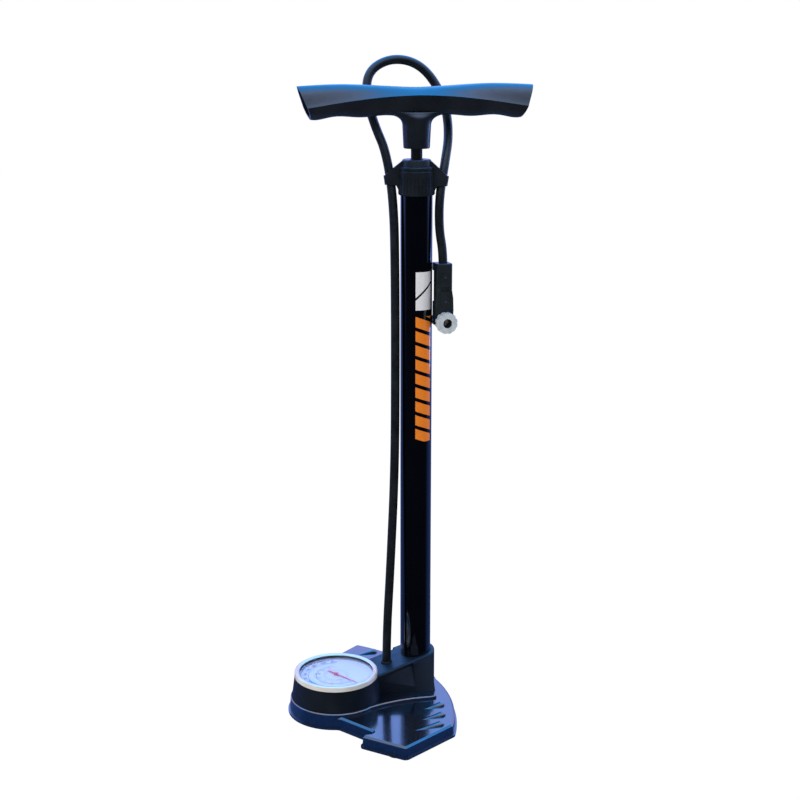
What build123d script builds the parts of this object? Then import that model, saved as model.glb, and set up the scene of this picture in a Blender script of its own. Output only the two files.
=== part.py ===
from build123d import *
import os
from math import asin, atan2, cos, degrees, hypot, pi, radians, sin, sqrt, tan

# Floor pump for bicycles. Millimetres, +Z up. The origin is on the barrel's axis at floor level.
# The gauge is on -Y. The broad foot wing reaches out along +X, the plain one along -X.

# ---- driving dimensions ------------------------------------------------------------------
BARREL_R = 16.0             # steel barrel, outside radius
BARREL_WALL = 1.5
BARREL_BOTTOM = 24.0
BARREL_TOP = 552.0
DECK = 13.5                 # top of the foot plate
GAUGE_OUT = 93.6            # from the barrel's axis to the gauge's axis
GAUGE_R = 43.3              # outside of the gauge's bezel
CUP_TOP = 38.8              # rim of the gauge cup
PLINTH_TOP = 16.5           # raised step of the foot plate, round the housing
COLLAR_R = 20.4             # housing round the barrel
COLLAR_HEIGHT = 47.4        # housing's sloping top, over the barrel's axis
COLLAR_SLOPE = 0.19         # fall of that top towards the gauge
WING_OUT = 135.0            # reach of a foot wing's front corner
REAR_ARC_R = 182.5          # trailing edge of the base
REAR_ARC_OUT = 160.0        # its centre, from the barrel's axis
CAP_BOTTOM = 533.0
CAP_TOP = 567.8
CAP_R = 18.2
ROD_R = 5.7
PISTON_BOTTOM = 37.0
PISTON_TOP = 59.0
HANDLE_HALF = 117.8         # half of the handle's length, along its top edge
NECK_BOTTOM = 578.5
HOSE_R = 4.5
HOSE_BORE = 2.5
HEAD_HEIGHT = 407.0         # valve axis of the stowed pump head
CLIP_TURN = 62.5            # the cap's two hose clips lie on a line at this angle from +X
HANDLE_TURN = 75.5          # the handle as it was left
HEAD_TURN = 17.0            # the stowed head, turned on its hose from the clip line
FIT = 0.05                  # running clearance on a radius
GAP = 0.3                   # room between parts that only lie side by side

BARREL_BORE = BARREL_R - BARREL_WALL

# Hose route in the clip frame: along the clip line, behind it, up.
HOSE_ROUTE = [
    (-30.7, -16.0, 28.0), (-30.7, -16.0, 68.0), (-26.2, -13.0, 150.0), (-21.6, -10.0, 255.0),
    (-21.0, -8.6, 365.0), (-21.2, -6.5, 455.0), (-22.4, -3.0, 523.0), (-29.4, 4.6, 573.0),
    (-41.5, 12.0, 600.0), (-50.0, 20.0, 628.0), (-48.0, 28.0, 651.0), (-29.0, 36.0, 663.0),
    (-6.0, 42.0, 662.0), (13.0, 44.0, 649.0), (28.5, 39.0, 622.0), (32.8, 26.0, 591.0),
    (27.8, 6.2, 562.0), (22.6, -2.8, 532.0), (22.3, -4.6, 500.0), (26.6, -5.0, 476.0),
    (26.6, -5.0, 458.0),
]
LEFT_CLIP_RUN = 6           # the runs of the route that pass through the cap's clips
RIGHT_CLIP_RUN = 16
HOSE_FOOT = HOSE_ROUTE[0]
HOSE_END = HOSE_ROUTE[-1]
HOSE_OUT = hypot(HOSE_FOOT[0], HOSE_FOOT[1])   # the hose's foot, along the spine towards the gauge


# ---- helpers -----------------------------------------------------------------------------
def disc(radius, bottom, top):
    return Pos(0, 0, (bottom + top) / 2) * Cylinder(radius, top - bottom)


def tube(outer, inner, bottom, top):
    return disc(outer, bottom, top) - disc(inner, bottom - 1, top + 1)


def block(x, y, z):
    """A box from three pairs of limits."""
    size = [high - low for low, high in (x, y, z)]
    centre = [(high + low) / 2 for low, high in (x, y, z)]
    return Pos(*centre) * Box(*size)


def turned_profile(points):
    """A ring or knob turned about Z from its half section, given as (radius, height)."""
    section = Plane.XZ * make_face(Polyline(*points, close=True))
    return revolve(section, axis=Axis.Z)


def outline(points):
    return make_face(Polyline(*points, close=True))


def spine(part):
    """From the base's own frame, x towards the gauge and y along a wing, to the pump's."""
    return Rot(0, 0, -90) * part


def clip_line(part):
    """From the clip frame, x along the clip line and y behind it, to the pump's."""
    return Rot(0, 0, CLIP_TURN) * part


def at_gauge(part):
    return spine(Pos(GAUGE_OUT, 0, 0) * part)


def at_head(part):
    """From the head's frame, valve facing -y with its axis at z = 0, to the pump's."""
    return clip_line(Pos(HOSE_END[0], HOSE_END[1], HEAD_HEIGHT) * Rot(0, 0, HEAD_TURN) * part)


def upright_edges(part):
    return part.edges().filter_by(Axis.Z)


def edges_at(part, height, reach=0.05):
    return part.edges().filter_by_position(Axis.Z, height - reach, height + reach)


# ---- base --------------------------------------------------------------------------------
LOBE_R = 49.0
RIM_BOTTOM = 0.5
LIP_HEIGHT = 2.6
LIP_OUT = 1.4
SKIN = 3.6
TOP_EDGE = 1.8              # bevel along the top edge of the wings
BROAD_WING = [(112.0, 45.3), (92.8, 91.0), (113.4, 84.8), (81.3, WING_OUT - 1.2), (15.9, 112.4)]
BROAD_ROUNDING = [9.0, 3.0, 4.0, 4.0, 6.0]
PLAIN_WING = [(118.0, -42.5), (66.0, -88.0), (15.9, -112.4)]
PLAIN_ROUNDING = [30.0, 25.0, 5.0]
RIBS = [(68.0, 32.0, 6.0), (88.0, 46.0, 16.0), (105.5, 65.0, 27.5), (-62.0, 28.0, 1.0), (-83.0, 36.0, 8.5)]
RIB_R = 4.3
RIB_SINK = 0.9              # a rib's axis lies this far under the deck
PLINTH_R = 48.1             # plinth under the gauge
PLINTH_WAIST = 43.2         # half its width at its narrowest
PLINTH_REAR = (1.5, 51.4)
PLINTH_EDGE = 0.9
SCREW_PLACES = [(30.0, 13.0), (30.0, -13.0), (112.0, 0.0), (70.0, 26.0), (70.0, -26.0)]
SCREW_R = 1.9
SCREW_HEAD_R = 3.8
SCREW_HEAD_TOP = 5.0
PAD_PLACES = [(0.0, 0.0), (130.5, 0.0), (84.0, 118.0), (24.0, 100.0), (70.0, -66.0), (24.0, -96.5)]
PAD_R = 8.0
PAD_TOP = 3.0
CENTRE_BOSS_R = 22.0
STIFFENER = 1.2             # half the thickness of a web under the deck
STIFFENER_BOTTOM = 4.0


def base_outline(grow=0.0):
    """The foot plate's plan: a round lobe under the gauge, two unlike wings and an arched rear edge."""
    rear = (REAR_ARC_OUT - REAR_ARC_R, 0.0)
    front = (GAUGE_OUT + LOBE_R, 0.0)
    lines = [ThreePointArc(PLAIN_WING[0], front, BROAD_WING[0])]
    lines.append(Polyline(*BROAD_WING))
    lines.append(ThreePointArc(BROAD_WING[-1], rear, PLAIN_WING[-1]))
    lines.append(Polyline(*reversed(PLAIN_WING)))
    face = make_face(lines)
    corners = BROAD_WING + PLAIN_WING
    for (x, y), radius in zip(corners, BROAD_ROUNDING + PLAIN_ROUNDING):
        vertex = face.vertices().sort_by_distance((x, y, 0))[0]
        face = fillet(vertex, radius)
    if grow:
        face = offset(face, amount=grow)
    return face


def rib(row, tip, end):
    """A raised tread like half a drop, from its point to its round end."""
    length = tip - end
    half_turn = asin(RIB_R / length)
    shoulder = (RIB_R * sin(half_turn), RIB_R * cos(half_turn))
    middle = (RIB_R * cos(radians(135)), RIB_R * sin(radians(135)))
    sides = [Polyline((-RIB_R, 0), (length, 0), shoulder), ThreePointArc(shoulder, middle, (-RIB_R, 0))]
    drop = revolve(make_face(sides), axis=Axis.X)
    above = block((-RIB_R - 1, length + 1), (-RIB_R - 1, RIB_R + 1), (RIB_SINK - 1.0, RIB_R + 1))
    return Pos(end, row, DECK - RIB_SINK) * (drop & above)


def plinth():
    """Raised step that follows the housing's foot, with a rounded edge."""
    x, y = PLINTH_REAR
    waist_at = (x + 7 + GAUGE_OUT) / 2
    sides = [ThreePointArc((GAUGE_OUT, side * PLINTH_R), (waist_at, side * PLINTH_WAIST), (x + 7, side * y))
             for side in (1, -1)]
    rear = Polyline((x + 7, y), (x, y), (-8, 26), (-8, -26), (x, -y), (x + 7, -y))
    front = Line((GAUGE_OUT, PLINTH_R), (GAUGE_OUT, -PLINTH_R))
    face = make_face(sides + [rear, front])
    for side in (1, -1):
        face = fillet(face.vertices().sort_by_distance((x, side * y, 0))[0], 2.5)
    face += Pos(GAUGE_OUT, 0) * Circle(PLINTH_R)
    body = extrude(Pos(0, 0, DECK - 3) * face, amount=PLINTH_TOP - DECK + 3, taper=4)
    return chamfer(edges_at(body, PLINTH_TOP), PLINTH_EDGE)


def base_slab(grow, bottom, top, taper=0.0):
    return extrude(Pos(0, 0, bottom) * base_outline(grow), amount=top - bottom, taper=taper)


def stiffening_webs():
    """Webs under the deck: one along the spine, two beside it and three across each wing."""
    half = STIFFENER
    webs = [block((0, 135), (-half, half), (STIFFENER_BOTTOM, DECK))]
    for side in (-1, 1):
        webs.append(block((20, 100), (side * 40 - half, side * 40 + half), (STIFFENER_BOTTOM, DECK)))
    for x in (20, 50, 80):
        webs.append(block((x - half, x + half), (-112, 112), (STIFFENER_BOTTOM, DECK)))
    return webs


def base_plate():
    """Hollow cast foot plate with screw bosses, pad seats and raised tread ribs."""
    body = chamfer(edges_at(base_slab(0, RIM_BOTTOM, DECK, taper=5), DECK), TOP_EDGE)
    body += base_slab(LIP_OUT, RIM_BOTTOM, LIP_HEIGHT)
    body -= base_slab(-SKIN, 0, DECK - 4.0)
    bosses = [Pos(x, y, 0) * disc(SCREW_HEAD_R + 2.7, RIM_BOTTOM + 1, DECK) for x, y in SCREW_PLACES]
    bosses += [Pos(x, y, 0) * disc(PAD_R + 2, RIM_BOTTOM, DECK) for x, y in PAD_PLACES[1:]]
    inside = base_slab(-SKIN + 0.6, RIM_BOTTOM, DECK - 1)
    for piece in bosses + stiffening_webs():
        body += piece & inside
    body += disc(CENTRE_BOSS_R, RIM_BOTTOM, DECK) & base_slab(-1.5, RIM_BOTTOM, DECK)
    body += plinth() - housing_foot()
    for row, tip, end in RIBS:
        body += rib(row, tip, end)
    body -= disc(BLOCK_R + FIT, BLOCK_BOTTOM, DECK + 1)
    for x, y in SCREW_PLACES:
        hole = disc(SCREW_R + GAP, -1, DECK + 1) + disc(SCREW_HEAD_R + GAP, -1, SCREW_HEAD_TOP)
        body -= Pos(x, y, 0) * hole
    for x, y in PAD_PLACES:
        body -= Pos(x, y, 0) * disc(PAD_R + FIT, -1, PAD_TOP)
    return spine(body)


def floor_pads():
    pads = [Pos(x, y, 0) * disc(PAD_R, 0, PAD_TOP) for x, y in PAD_PLACES]
    return spine(Compound(children=pads))


def base_screws():
    screw = disc(SCREW_HEAD_R, 2.0, SCREW_HEAD_TOP) + disc(SCREW_R, SCREW_HEAD_TOP, 24.0)
    screw -= block((-2.6, 2.6), (-0.5, 0.5), (0, 3.2))
    return spine(Compound(children=[Pos(x, y, 0) * screw for x, y in SCREW_PLACES]))


# ---- housing -----------------------------------------------------------------------------
CUP_FOOT_R = 46.8
CUP_BORE = 40.6
GROMMET_R = 5.9
GROMMET_SHOULDER = 37.4
FLANK_LEFT = 17.6           # half width of the flank where it meets the cup
BUTTRESS_FOOT = [(16.6, 33.6), (-2.3, 41.2)]
STUB_R = 4.5                # posts that the base screws go into


def sloping_cut(lift=0.0):
    """Everything above the housing's sloping top."""
    angle = degrees(atan2(COLLAR_SLOPE, 1))
    wedge = Box(400, 200, 100, align=(Align.CENTER, Align.CENTER, Align.MIN))
    return Pos(0, 0, COLLAR_HEIGHT + lift) * Rot(0, angle, 0) * wedge


def wall_section(x, points):
    """An upright section across the spine, its points given as (wing, height)."""
    return outline_3d([(x, y, z) for y, z in points])


def outline_3d(points):
    return Face(Wire.make_polygon([Vector(*point) for point in points], close=True))


def housing_foot():
    """Room for the housing in the plinth."""
    foot = Pos(GAUGE_OUT, 0, 0) * disc(CUP_FOOT_R + FIT, DECK, PLINTH_TOP + 1)
    foot += disc(COLLAR_R + FIT, DECK, PLINTH_TOP + 1)
    foot += block((0, 60), (-COLLAR_R - FIT, COLLAR_R + FIT), (DECK, PLINTH_TOP + 1))
    for side in (-1, 1):
        corners = [(60, side * (FLANK_LEFT + FIT))]
        corners += [(x, side * (y + 2 * FIT)) for x, y in BUTTRESS_FOOT]
        corners += [(-12 - 2 * FIT, side * 17.0), (-12 - 2 * FIT, 0), (60, 0)]
        foot += extrude(Pos(0, 0, DECK) * outline(corners), amount=PLINTH_TOP + 1 - DECK)
    return foot


def housing():
    """Gauge cup, neck and barrel socket in one moulding, with a folded flank and a buttress on each side."""
    cup = Pos(GAUGE_OUT, 0, (DECK + CUP_TOP) / 2) * Cone(CUP_FOOT_R, GAUGE_R, CUP_TOP - DECK)
    collar = disc(COLLAR_R, DECK, 70) + block((0, 60), (-COLLAR_R, COLLAR_R), (DECK, 70))
    collar -= sloping_cut()
    top_rim = collar.faces().sort_by(Axis.Z)[-1].edges()
    rim = [edge for edge in top_rim if edge.center().X < 55]
    collar = fillet(rim, 2.8)
    body = cup + collar
    for side in (-1, 1):
        flank = loft([
            wall_section(58, [(side * 12, DECK), (side * FLANK_LEFT, DECK), (side * FLANK_LEFT, 31.0),
                              (side * 19.5, 35.5), (side * 12, 35.5)]),
            wall_section(14.6, [(side * 12, DECK), (side * 33.9, DECK), (side * 31.5, 20.5),
                                (side * 19.5, 42.0), (side * 12, 42.0)]),
        ], ruled=True)
        foot = [(x, side * y) for x, y in BUTTRESS_FOOT + [(-12.0, 17.0), (16.6, 14.0)]]
        head = [(x, side * y) for x, y in [(14.0, 21.4), (-7.5, 19.6), (-10.0, 14.0), (14.0, 14.0)]]
        buttress = loft([
            outline_3d([(x, y, DECK) for x, y in foot]),
            outline_3d([(x, y, 51.0) for x, y in head]),
        ], ruled=True)
        body += flank
        body += buttress - sloping_cut(-1.2)
    body -= Pos(GAUGE_OUT, 0, 0) * disc(CUP_BORE, DECK - 1, CUP_TOP + 1)
    body -= block((BLOCK_R + 3.5, 60), (-16.5, 16.5), (DECK - 1, 30))
    body -= disc(BLOCK_R + FIT, DECK - 1, BARREL_BOTTOM)
    body -= disc(BARREL_R + FIT, BARREL_BOTTOM - 1, 80)
    body -= block((0, 30), (-6, 6), (DECK - 1, 24.5))
    body -= Pos(HOSE_OUT, 0, 0) * disc(HOSE_R + GAP + 0.5 + FIT, 20, 60)
    body -= Pos(HOSE_OUT, 0, 0) * disc(GROMMET_R + GAP, GROMMET_SHOULDER - GAP, 60)
    for x, y in SCREW_PLACES[:2]:
        body += Pos(x, y, 0) * disc(STUB_R, DECK, 32)
    for x, y in SCREW_PLACES[2:]:
        reach = CUP_BORE + 1.5 - hypot(x - GAUGE_OUT, y)
        turn = degrees(atan2(y, x - GAUGE_OUT))
        web = Rot(0, 0, turn) * block((0, reach), (-1.5, 1.5), (DECK, 24))
        body += Pos(x, y, 0) * (disc(STUB_R, DECK, 25) + web)
    for x, y in SCREW_PLACES:
        body -= Pos(x, y, 0) * disc(SCREW_R + FIT, DECK - 1, 26)
    return spine(body)


def hose_grommet():
    """Rubber ring that the hose comes out of, seated in the sloping top."""
    neck = HOSE_R + GAP + 0.5
    rise = [(neck, 31.5), (neck, GROMMET_SHOULDER), (GROMMET_R, GROMMET_SHOULDER), (GROMMET_R, 41.2),
            (neck, 42.3), (HOSE_R + GAP, 42.3), (HOSE_R + GAP, 31.5)]
    return spine(Pos(HOSE_OUT, 0, 0) * turned_profile(rise))


# ---- foot valve and air passage ----------------------------------------------------------
BLOCK_R = 18.4
BLOCK_BOTTOM = 5.0
SPIGOT_TOP = 34.0
PASSAGE = 19.0
SEAT = 22.0
DISC_BOTTOM = 20.0
SPRING_SEAT = 8.0
SEAL_HEIGHT = 29.0
SEAL_GROOVE_R = 12.9


def valve_block():
    """Plug under the barrel: air goes down its middle, past the valve disc, and out sideways."""
    body = disc(BLOCK_R, BLOCK_BOTTOM, BARREL_BOTTOM) + disc(BARREL_BORE - FIT, BARREL_BOTTOM, SPIGOT_TOP)
    body -= tube(BARREL_BORE + 1, SEAL_GROOVE_R, SEAL_HEIGHT - 1.4, SEAL_HEIGHT + 1.4)
    body -= disc(3.2, SEAT - 1, SPIGOT_TOP + 1)
    body -= disc(6.2, SPRING_SEAT, SEAT)
    body -= Pos(10, 0, PASSAGE) * Rot(0, 90, 0) * Cylinder(3.0 + FIT, 20)
    return spine(body)


def block_seal():
    section = (BARREL_BORE - SEAL_GROOVE_R) / 2 - FIT
    return Pos(0, 0, SEAL_HEIGHT) * Torus((BARREL_BORE + SEAL_GROOVE_R) / 2, section)


def check_disc():
    return disc(5.4, DISC_BOTTOM, SEAT - FIT)


def check_spring():
    """Light spring that holds the valve disc up against its seat."""
    wire = 0.35
    room = wire + 0.1
    path = Helix(pitch=2.2, height=DISC_BOTTOM - SPRING_SEAT - 2 * room, radius=3.6)
    start = Plane(origin=path @ 0, z_dir=path % 0)
    coil = sweep(start * Circle(wire), path=path, is_frenet=True)
    return Pos(0, 0, SPRING_SEAT + room) * coil


def air_manifold():
    """Moulded duct from the foot valve to the hose nipple and the gauge."""
    duct = Pos(14, 0, PASSAGE) * Rot(0, 90, 0) * Cylinder(3.0, 12)
    duct += block((BLOCK_R + FIT, GAUGE_OUT + 6), (-4.5, 4.5), (14.0, 24.0))
    duct -= Pos(54, 0, PASSAGE) * Rot(0, 90, 0) * Cylinder(1.8, 84)
    duct -= Pos(HOSE_OUT, 0, 0) * disc(1.6, PASSAGE, 26)
    duct -= Pos(GAUGE_OUT, 0, 0) * disc(1.6, PASSAGE, 26)
    return spine(duct)


def barbed_nipple(bottom, top, collar):
    """A brass hose nipple with three barbs, on a round collar."""
    points = [(1.2, bottom), (4.3, bottom), (4.3, bottom + collar), (HOSE_BORE - 0.5, bottom + collar)]
    step = (top - bottom - collar) / 3
    for barb in range(3):
        low = bottom + collar + barb * step
        points += [(HOSE_BORE - 0.1, low + 0.2), (HOSE_BORE - 0.5, low + step)]
    points.append((1.2, top))
    return turned_profile(points)


def hose_nipple():
    return spine(Pos(HOSE_OUT, 0, 0) * barbed_nipple(24.0, 41.0, HOSE_FOOT[2] - 24.0))


# ---- barrel, cap and plunger -------------------------------------------------------------
GUIDE_R = 8.0
GUIDE_BOTTOM = 548.0
PISTON_R = BARREL_BORE - 0.4
ROD_FOOT = PISTON_TOP - 12.0
ROD_SHOULDER = 604.0        # the handle's hub sits on it
STUD_R = 4.2
CLIP_R = HOSE_R + GAP + 1.4
FIN_FRONT = 6.6             # front face of the clips' fins

def barrel():
    return tube(BARREL_R, BARREL_BORE, BARREL_BOTTOM, BARREL_TOP)


def clip_centre(run):
    start = Vector(*HOSE_ROUTE[run])
    end = Vector(*HOSE_ROUTE[run + 1])
    return (start + end) * 0.5, (end - start).normalized()


def ring_plane(run):
    """A plane across the hose at a clip, with its -y side away from the pump's front."""
    centre, along = clip_centre(run)
    side = 1 if centre.X > 0 else -1
    return Plane(origin=centre, x_dir=(side, 0, 0), z_dir=along)


def hose_clip(run):
    """A clip open to the rear, on a fin that slopes down from the cap's top."""
    centre, _ = clip_centre(run)
    side = 1 if centre.X > 0 else -1
    out = abs(centre.X)
    low = centre.Z - 4.6
    high = centre.Z + 4.6
    ring = ring_plane(run) * Cylinder(CLIP_R, 9.2)
    profile = [(12.0, low - 5.5), (17.6, low - 5.5), (20.0, low - 1.0), (23.0, low), (out + 3.5, low),
               (out + 5.4, low + 4.0), (out + 5.4, high), (14.2, CAP_TOP - 1.2), (12.0, CAP_TOP - 1.2)]
    fin = extrude(Plane.XZ * outline([(side * x, z) for x, z in profile]), amount=FIN_FRONT + 1.0)
    return ring + Pos(0, 1.0, 0) * fin


def clip_bore(run):
    mouth = Pos(0, -10, 0) * Box(6.4, 20, 40)
    return ring_plane(run) * (Cylinder(HOSE_R + GAP, 60) + mouth)


def cap():
    """Screwed cap with two hose clips and a finely grooved skirt."""
    shell = turned_profile([
        (0, CAP_BOTTOM), (CAP_R - 0.9, CAP_BOTTOM), (CAP_R, CAP_BOTTOM + 1.2), (CAP_R, 556.0),
        (CAP_R - 0.9, 556.8), (CAP_R - 0.9, 557.8), (CAP_R - 0.3, 558.3), (CAP_R - 0.3, 560.0), (CAP_R - 1.2, 560.9),
        (15.7, 561.2), (14.4, CAP_TOP - 1.0), (13.4, CAP_TOP),
        (0, CAP_TOP)])
    for run in (LEFT_CLIP_RUN, RIGHT_CLIP_RUN):
        shell += hose_clip(run)
        shell -= clip_bore(run)
    shell -= tube(BARREL_R + FIT, BARREL_BORE - FIT, CAP_BOTTOM - 1, BARREL_TOP)
    shell -= disc(ROD_R + 2.4, CAP_BOTTOM - 1, GUIDE_BOTTOM)
    shell -= disc(GUIDE_R, GUIDE_BOTTOM, CAP_TOP - 3.5)
    shell -= disc(ROD_R + 0.6, CAP_TOP - 4, CAP_TOP + 1)
    groove = Pos(CAP_R + 0.5, 0, 543.0) * Box(1.6, 1.0, 15.0)
    turns = [number * 12.0 for number in range(30)]
    shell -= [Rot(0, 0, turn) * groove for turn in turns if abs(sin(radians(turn))) > 0.55]
    return clip_line(shell)


def rod_guide():
    return tube(GUIDE_R - FIT, ROD_R + FIT, GUIDE_BOTTOM, 561.0)


def rod_wiper():
    return turned_profile([(ROD_R + FIT, 561.1), (GUIDE_R - FIT, 561.1), (GUIDE_R - FIT, 564.2),
                           (ROD_R + 0.4, 564.2), (ROD_R + FIT, 563.0)])


def rod_bumper():
    return tube(PISTON_R, ROD_R + 0.6, 524.0, CAP_BOTTOM)


def piston_rod():
    """Hollow rod, plugged at the top, with a threaded stud for the handle's nut."""
    rod = tube(ROD_R, ROD_R - 1.4, ROD_FOOT, 598.0)
    return rod + disc(ROD_R, 598.0, ROD_SHOULDER) + disc(STUD_R, ROD_SHOULDER, 622.0)


def piston_body():
    """Piston with one groove for the cup seal and one for the wear ring."""
    body = turned_profile([
        (0, PISTON_BOTTOM), (13.2, PISTON_BOTTOM), (PISTON_R, PISTON_BOTTOM + 1.2), (PISTON_R, 41.5),
        (12.0, 41.5), (12.0, 45.5), (PISTON_R, 45.5), (PISTON_R, 50.0), (13.2, 50.0), (13.2, 56.0),
        (PISTON_R, 56.0), (PISTON_R, PISTON_TOP - 1), (13.2, PISTON_TOP), (0, PISTON_TOP)])
    body -= disc(ROD_R + FIT, ROD_FOOT, PISTON_TOP + 1)
    body -= disc(3.0, PISTON_BOTTOM - 1, PISTON_TOP)
    return body


def piston_seal():
    return turned_profile([(12.05, 41.6), (14.0, 41.6), (BARREL_BORE - FIT, 42.6), (BARREL_BORE - FIT, 44.2),
                           (13.6, 45.4), (12.05, 45.4)])


def wear_ring():
    ring = tube(BARREL_BORE - FIT, 13.25, 50.1, 55.9)
    return ring - block((0, 20), (-0.8, 0.8), (49, 57))


def piston_screw():
    screw = disc(5.6, 35.0, PISTON_BOTTOM) + disc(2.9, PISTON_BOTTOM, 58.0)
    return screw - block((-4, 4), (-0.6, 0.6), (34, 36))


# ---- handle ------------------------------------------------------------------------------
BAR_DEPTH = 14.6            # half of the bar, front to back
BAR_WALL = 2.7
NECK_FLARE = [              # height, half width along the bar, half width across it
    (600.0, 14.1, 14.1), (603.5, 14.6, 14.2), (606.5, 16.4, 14.2), (609.2, 20.6, 13.6),
    (611.5, 27.0, 12.4), (613.5, 36.0, 10.0)]
BAR_STATIONS = [            # distance out, top, crease, bottom
    (0.0, 637.4, 630.0, 608.8), (18.0, 638.0, 629.5, 609.4), (36.0, 639.0, 628.4, 610.4),
    (54.0, 640.0, 626.6, 608.9), (72.0, 640.6, 624.4, 609.9), (90.0, 640.4, 621.8, 608.5),
    (108.0, 639.6, 619.0, 607.9), (126.0, 638.2, 616.0, 607.2)]
END_LEAN = degrees(atan2(12.3, 31.0))   # the open ends are cut at this angle to upright
NECK_R = 14.1
NUT_ACROSS = 13.0
NUT_BOTTOM = 610.0
NUT_TOP = 616.0


def bar_section(x, top, crease, bottom, inset=0.0):
    """One slice of the grip: a gable with a round ridge over a deep bowl, with a crease where they meet."""
    half = BAR_DEPTH - inset
    local = Plane(origin=(x, 0, crease), x_dir=(0, 1, 0), z_dir=(1, 0, 0))
    rise = top - inset - crease
    drop = crease - bottom - inset
    flank = [(half, 0), (0.76 * half, 0.38 * rise), (0.42 * half, 0.82 * rise)]
    arch = Spline(*flank, (0, rise), *[(-y, z) for y, z in reversed(flank)])
    bowl = EllipticalCenterArc((0, 0), half, drop, start_angle=180, arc_size=180)
    return local * make_face([arch, bowl])


def grip_hollow(side):
    _, top, crease, bottom = BAR_STATIONS[2]
    sections = [bar_section(side * 22.0, top, crease, bottom - 0.8, BAR_WALL + 1.5)]
    for x, top, crease, bottom in BAR_STATIONS[2:]:
        sections.append(bar_section(side * x, top, crease, bottom, BAR_WALL))
    return loft(sections)


def handle():
    """Moulded T grip, hollow from both ends, with a neck that takes the rod."""
    mirrored = [(-x, top, crease, bottom) for x, top, crease, bottom in reversed(BAR_STATIONS[1:])]
    body = loft([bar_section(*station) for station in mirrored + BAR_STATIONS])
    body += loft([Pos(0, 0, height) * Ellipse(across, deep) for height, across, deep in NECK_FLARE])
    body += turned_profile([(0, NECK_BOTTOM), (NECK_R - 1.7, NECK_BOTTOM), (NECK_R - 1.0, NECK_BOTTOM + 0.9),
                            (NECK_R, 600.0), (0, 600.0)])
    for side in (-1, 1):
        body -= grip_hollow(side)
        outward = Align.MIN if side > 0 else Align.MAX
        end_cut = Box(60, 60, 80, align=(outward, Align.CENTER, Align.CENTER))
        body -= Pos(side * (HANDLE_HALF - 6.15), 0, 623.5) * Rot(0, side * END_LEAN, 0) * end_cut
    body -= disc(ROD_R + FIT, NECK_BOTTOM - 1, ROD_SHOULDER)
    body -= disc(STUD_R + FIT, ROD_SHOULDER - 1, 622.5)
    body -= hexagon(NUT_ACROSS + 2 * FIT, NUT_BOTTOM - 0.1, NUT_TOP + 0.1)
    return Rot(0, 0, HANDLE_TURN) * body


def hexagon(across, bottom, top):
    return extrude(Pos(0, 0, bottom) * RegularPolygon(across / sqrt(3), 6), amount=top - bottom)


def rod_nut():
    nut = hexagon(NUT_ACROSS, NUT_BOTTOM, NUT_TOP) - disc(STUD_R + FIT, 600, 620)
    return Rot(0, 0, HANDLE_TURN) * nut


# ---- gauge -------------------------------------------------------------------------------
CASE_R = 40.2
CASE_FLOOR = 26.0
PINION_R = 3.0
SECTOR_R = 15.0
MESH_DISTANCE = PINION_R + SECTOR_R
SECTOR_SIDE = 250.0         # direction of the sector's pivot from the gauge's axis
NEEDLE_REST = -42.5         # the needle's zero, in the clip frame
ARBOR_R = 1.0


def gauge_case():
    case = disc(CASE_R, CASE_FLOOR, CUP_TOP) + disc(42.4, CUP_TOP, CUP_TOP + 0.8)
    case -= disc(CASE_R - 1.2, CASE_FLOOR + 1.2, CUP_TOP + 2)
    case -= disc(3.2 + FIT, CASE_FLOOR - 1, CASE_FLOOR + 2)
    case += tube(CASE_R - 1.1, CASE_R - 3.0, 35.6, 37.2)
    return at_gauge(case)


def gauge_socket():
    """Brass stem and block that carry air from the duct into the Bourdon tube."""
    stem = disc(3.2, 24.0, 28.3) + block((-3, 26), (-4, 4), (27.3, 28.3))
    stem += block((22, 31), (-4.5, 4.5), (27.3, 34.6))
    stem -= disc(1.2, 23, 27.8)
    return at_gauge(Rot(0, 0, 200) * stem)


def bourdon_tube():
    section = Plane.XZ * Pos(28.2, 31.6) * SlotOverall(5.0, 2.0, rotation=90)
    coil = revolve(section, axis=Axis.Z, revolution_arc=248)
    return at_gauge(Rot(0, 0, 211) * coil)


def tooth(root, tip):
    """A gear tooth pointing along +x, as a flat outline."""
    pitch = (root + tip) / 2
    flank = [(root - 0.4, 0.46), (pitch, 0.31), (tip, 0.15)]
    return outline([(x, -y) for x, y in flank] + flank[::-1])


def gear_teeth(pitch_radius, first, step, count, bottom, top):
    flat = Pos(0, 0, bottom) * tooth(pitch_radius - 0.6, pitch_radius + 0.4)
    return [Rot(0, 0, first + number * step) * extrude(flat, amount=top - bottom) for number in range(count)]


def needle_arbor():
    """Needle shaft with its pinion."""
    shaft = disc(ARBOR_R, 28.6, 39.6) + disc(PINION_R - 0.6, 30.4, 32.8)
    return at_gauge(shaft + gear_teeth(PINION_R, SECTOR_SIDE + 15.0, 30.0, 12, 30.4, 32.8))


def sector_gear():
    """Toothed sector on its own arbor, one fifth of the pinion's turn."""
    bottom, top = 31.0, 32.2
    step = 6.0
    first = SECTOR_SIDE + 180.0 - 9 * step
    rim = [radians(first - 3.0 + number * 5.5) for number in range(13)]
    points = [((SECTOR_R - 0.6) * cos(angle), (SECTOR_R - 0.6) * sin(angle)) for angle in rim]
    web = extrude(Pos(0, 0, bottom) * outline([(0, 0)] + points), amount=top - bottom)
    web += gear_teeth(SECTOR_R, first, step, 11, bottom, top)
    web += disc(3.0, bottom, top) + disc(ARBOR_R, 28.6, 34.8)
    side = radians(SECTOR_SIDE)
    return at_gauge(Pos(MESH_DISTANCE * cos(side), MESH_DISTANCE * sin(side), 0) * web)


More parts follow.
